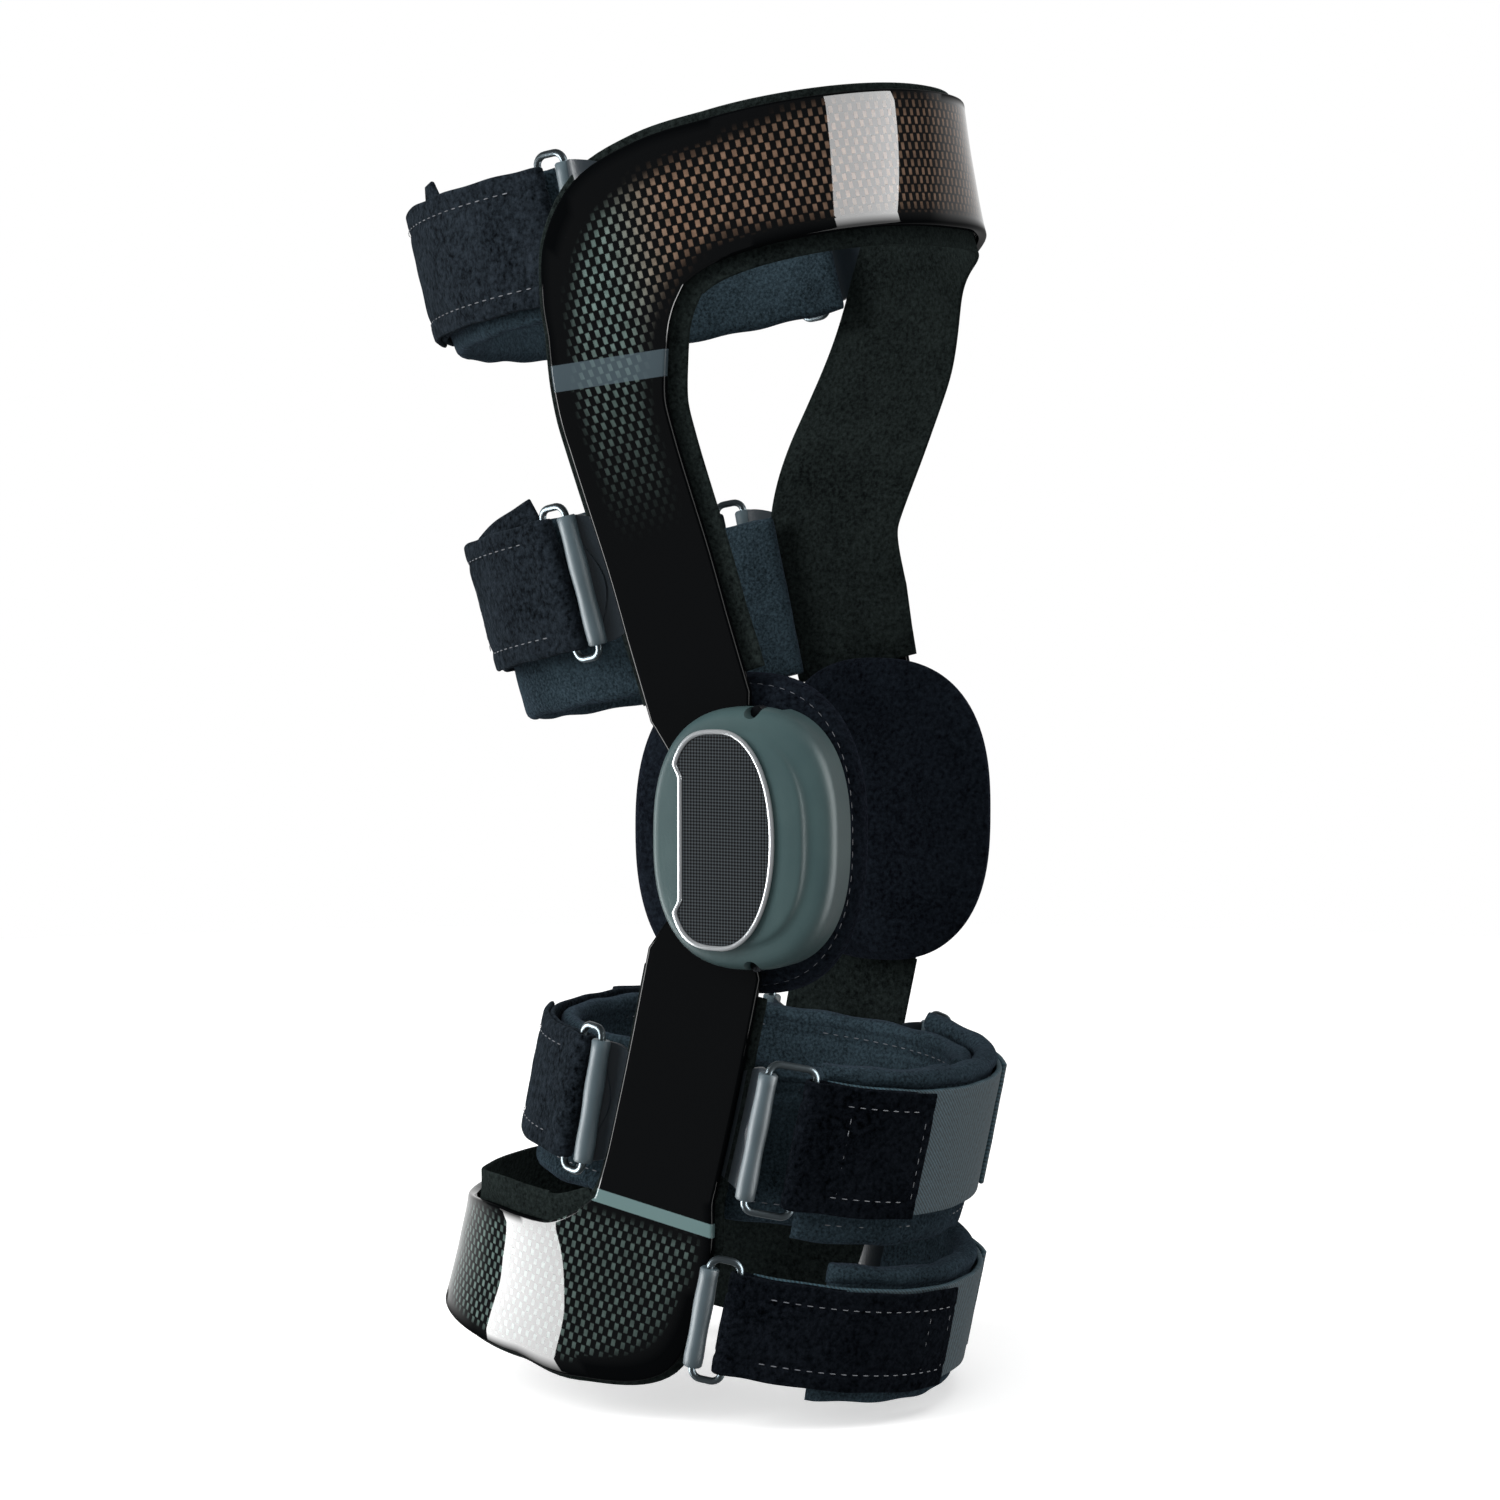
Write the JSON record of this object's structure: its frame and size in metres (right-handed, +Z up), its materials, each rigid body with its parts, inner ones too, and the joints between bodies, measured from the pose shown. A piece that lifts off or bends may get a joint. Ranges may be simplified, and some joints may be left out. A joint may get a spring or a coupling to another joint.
{
  "type": "knee brace",
  "caption": "Rigid hinged knee brace with a gloss black thigh band and calf shell, geared side hinges, padded straps and wire buckles.",
  "frame": {"origin": "the centre of the knee, midway between the two hinges and between their two pivots", "axes": "+Z up the leg, -Y the front of the leg, +X towards the far side in the picture, so the two hinges stand at -X and +X"},
  "size_m": [0.1687, 0.184, 0.3946],
  "materials": {
    "laminate": "gloss black woven laminate under clear resin",
    "suede": "matt suede",
    "plush": "short loop pile, navy black",
    "webbing": "twill webbing",
    "pad": "padded knit cover, navy black",
    "cover": "satin grey",
    "badge": "black face with a bright rim, no print",
    "steel": "smooth bright steel",
    "tab": "smooth blue-grey"
  },
  "bodies": {
    "thigh": {"thigh_frame": "laminate", "thigh_liner": "suede", "thigh_upper_ring_near": "steel", "thigh_upper_ring_far": "steel", "thigh_upper_tab_near": "tab", "thigh_upper_tab_far": "tab", "thigh_upper_strap": "plush", "thigh_upper_pad": "pad", "thigh_lower_ring_near": "steel", "thigh_lower_ring_far": "steel", "thigh_lower_tab_near": "tab", "thigh_lower_tab_far": "tab", "thigh_lower_strap": "plush", "thigh_lower_pad": "pad"},
    "hinge": {"hinge_plate_near": "steel", "hinge_plate_far": "steel", "hinge_cover_near": "cover", "hinge_cover_far": "cover", "hinge_badge_near": "badge", "hinge_badge_far": "badge", "condyle_pad_near": "pad", "condyle_pad_far": "pad"},
    "calf": {"calf_frame": "laminate", "calf_liner": "suede", "calf_rear_ring_near": "steel", "calf_rear_ring_far": "steel", "calf_rear_tab_near": "tab", "calf_rear_tab_far": "tab", "calf_rear_strap": "plush", "calf_wrap": "pad", "shin_upper_ring_near": "steel", "shin_upper_ring_far": "steel", "shin_upper_tab_near": "tab", "shin_upper_tab_far": "tab", "shin_upper_strap": "webbing", "shin_upper_strap_end": "plush", "shin_upper_pad": "pad", "shin_lower_ring_near": "steel", "shin_lower_ring_far": "steel", "shin_lower_tab_near": "tab", "shin_lower_tab_far": "tab", "shin_lower_strap": "webbing", "shin_lower_strap_end": "plush", "shin_lower_pad": "pad"}
  },
  "joints": [
    {"name": "upper_hinge", "type": "hinge", "parent": "thigh", "child": "hinge", "pos_m": [0, 0, 0.013], "axis": [1, 0, 0], "range_deg": [-13.5, 24]},
    {"name": "lower_hinge", "type": "hinge", "parent": "hinge", "child": "calf", "pos_m": [0, 0, -0.013], "axis": [1, 0, 0], "range_deg": [-13.5, 24]}
  ],
  "couplings": [
    {"joint": "lower_hinge", "follows": "upper_hinge", "ratio": 1}
  ]
}
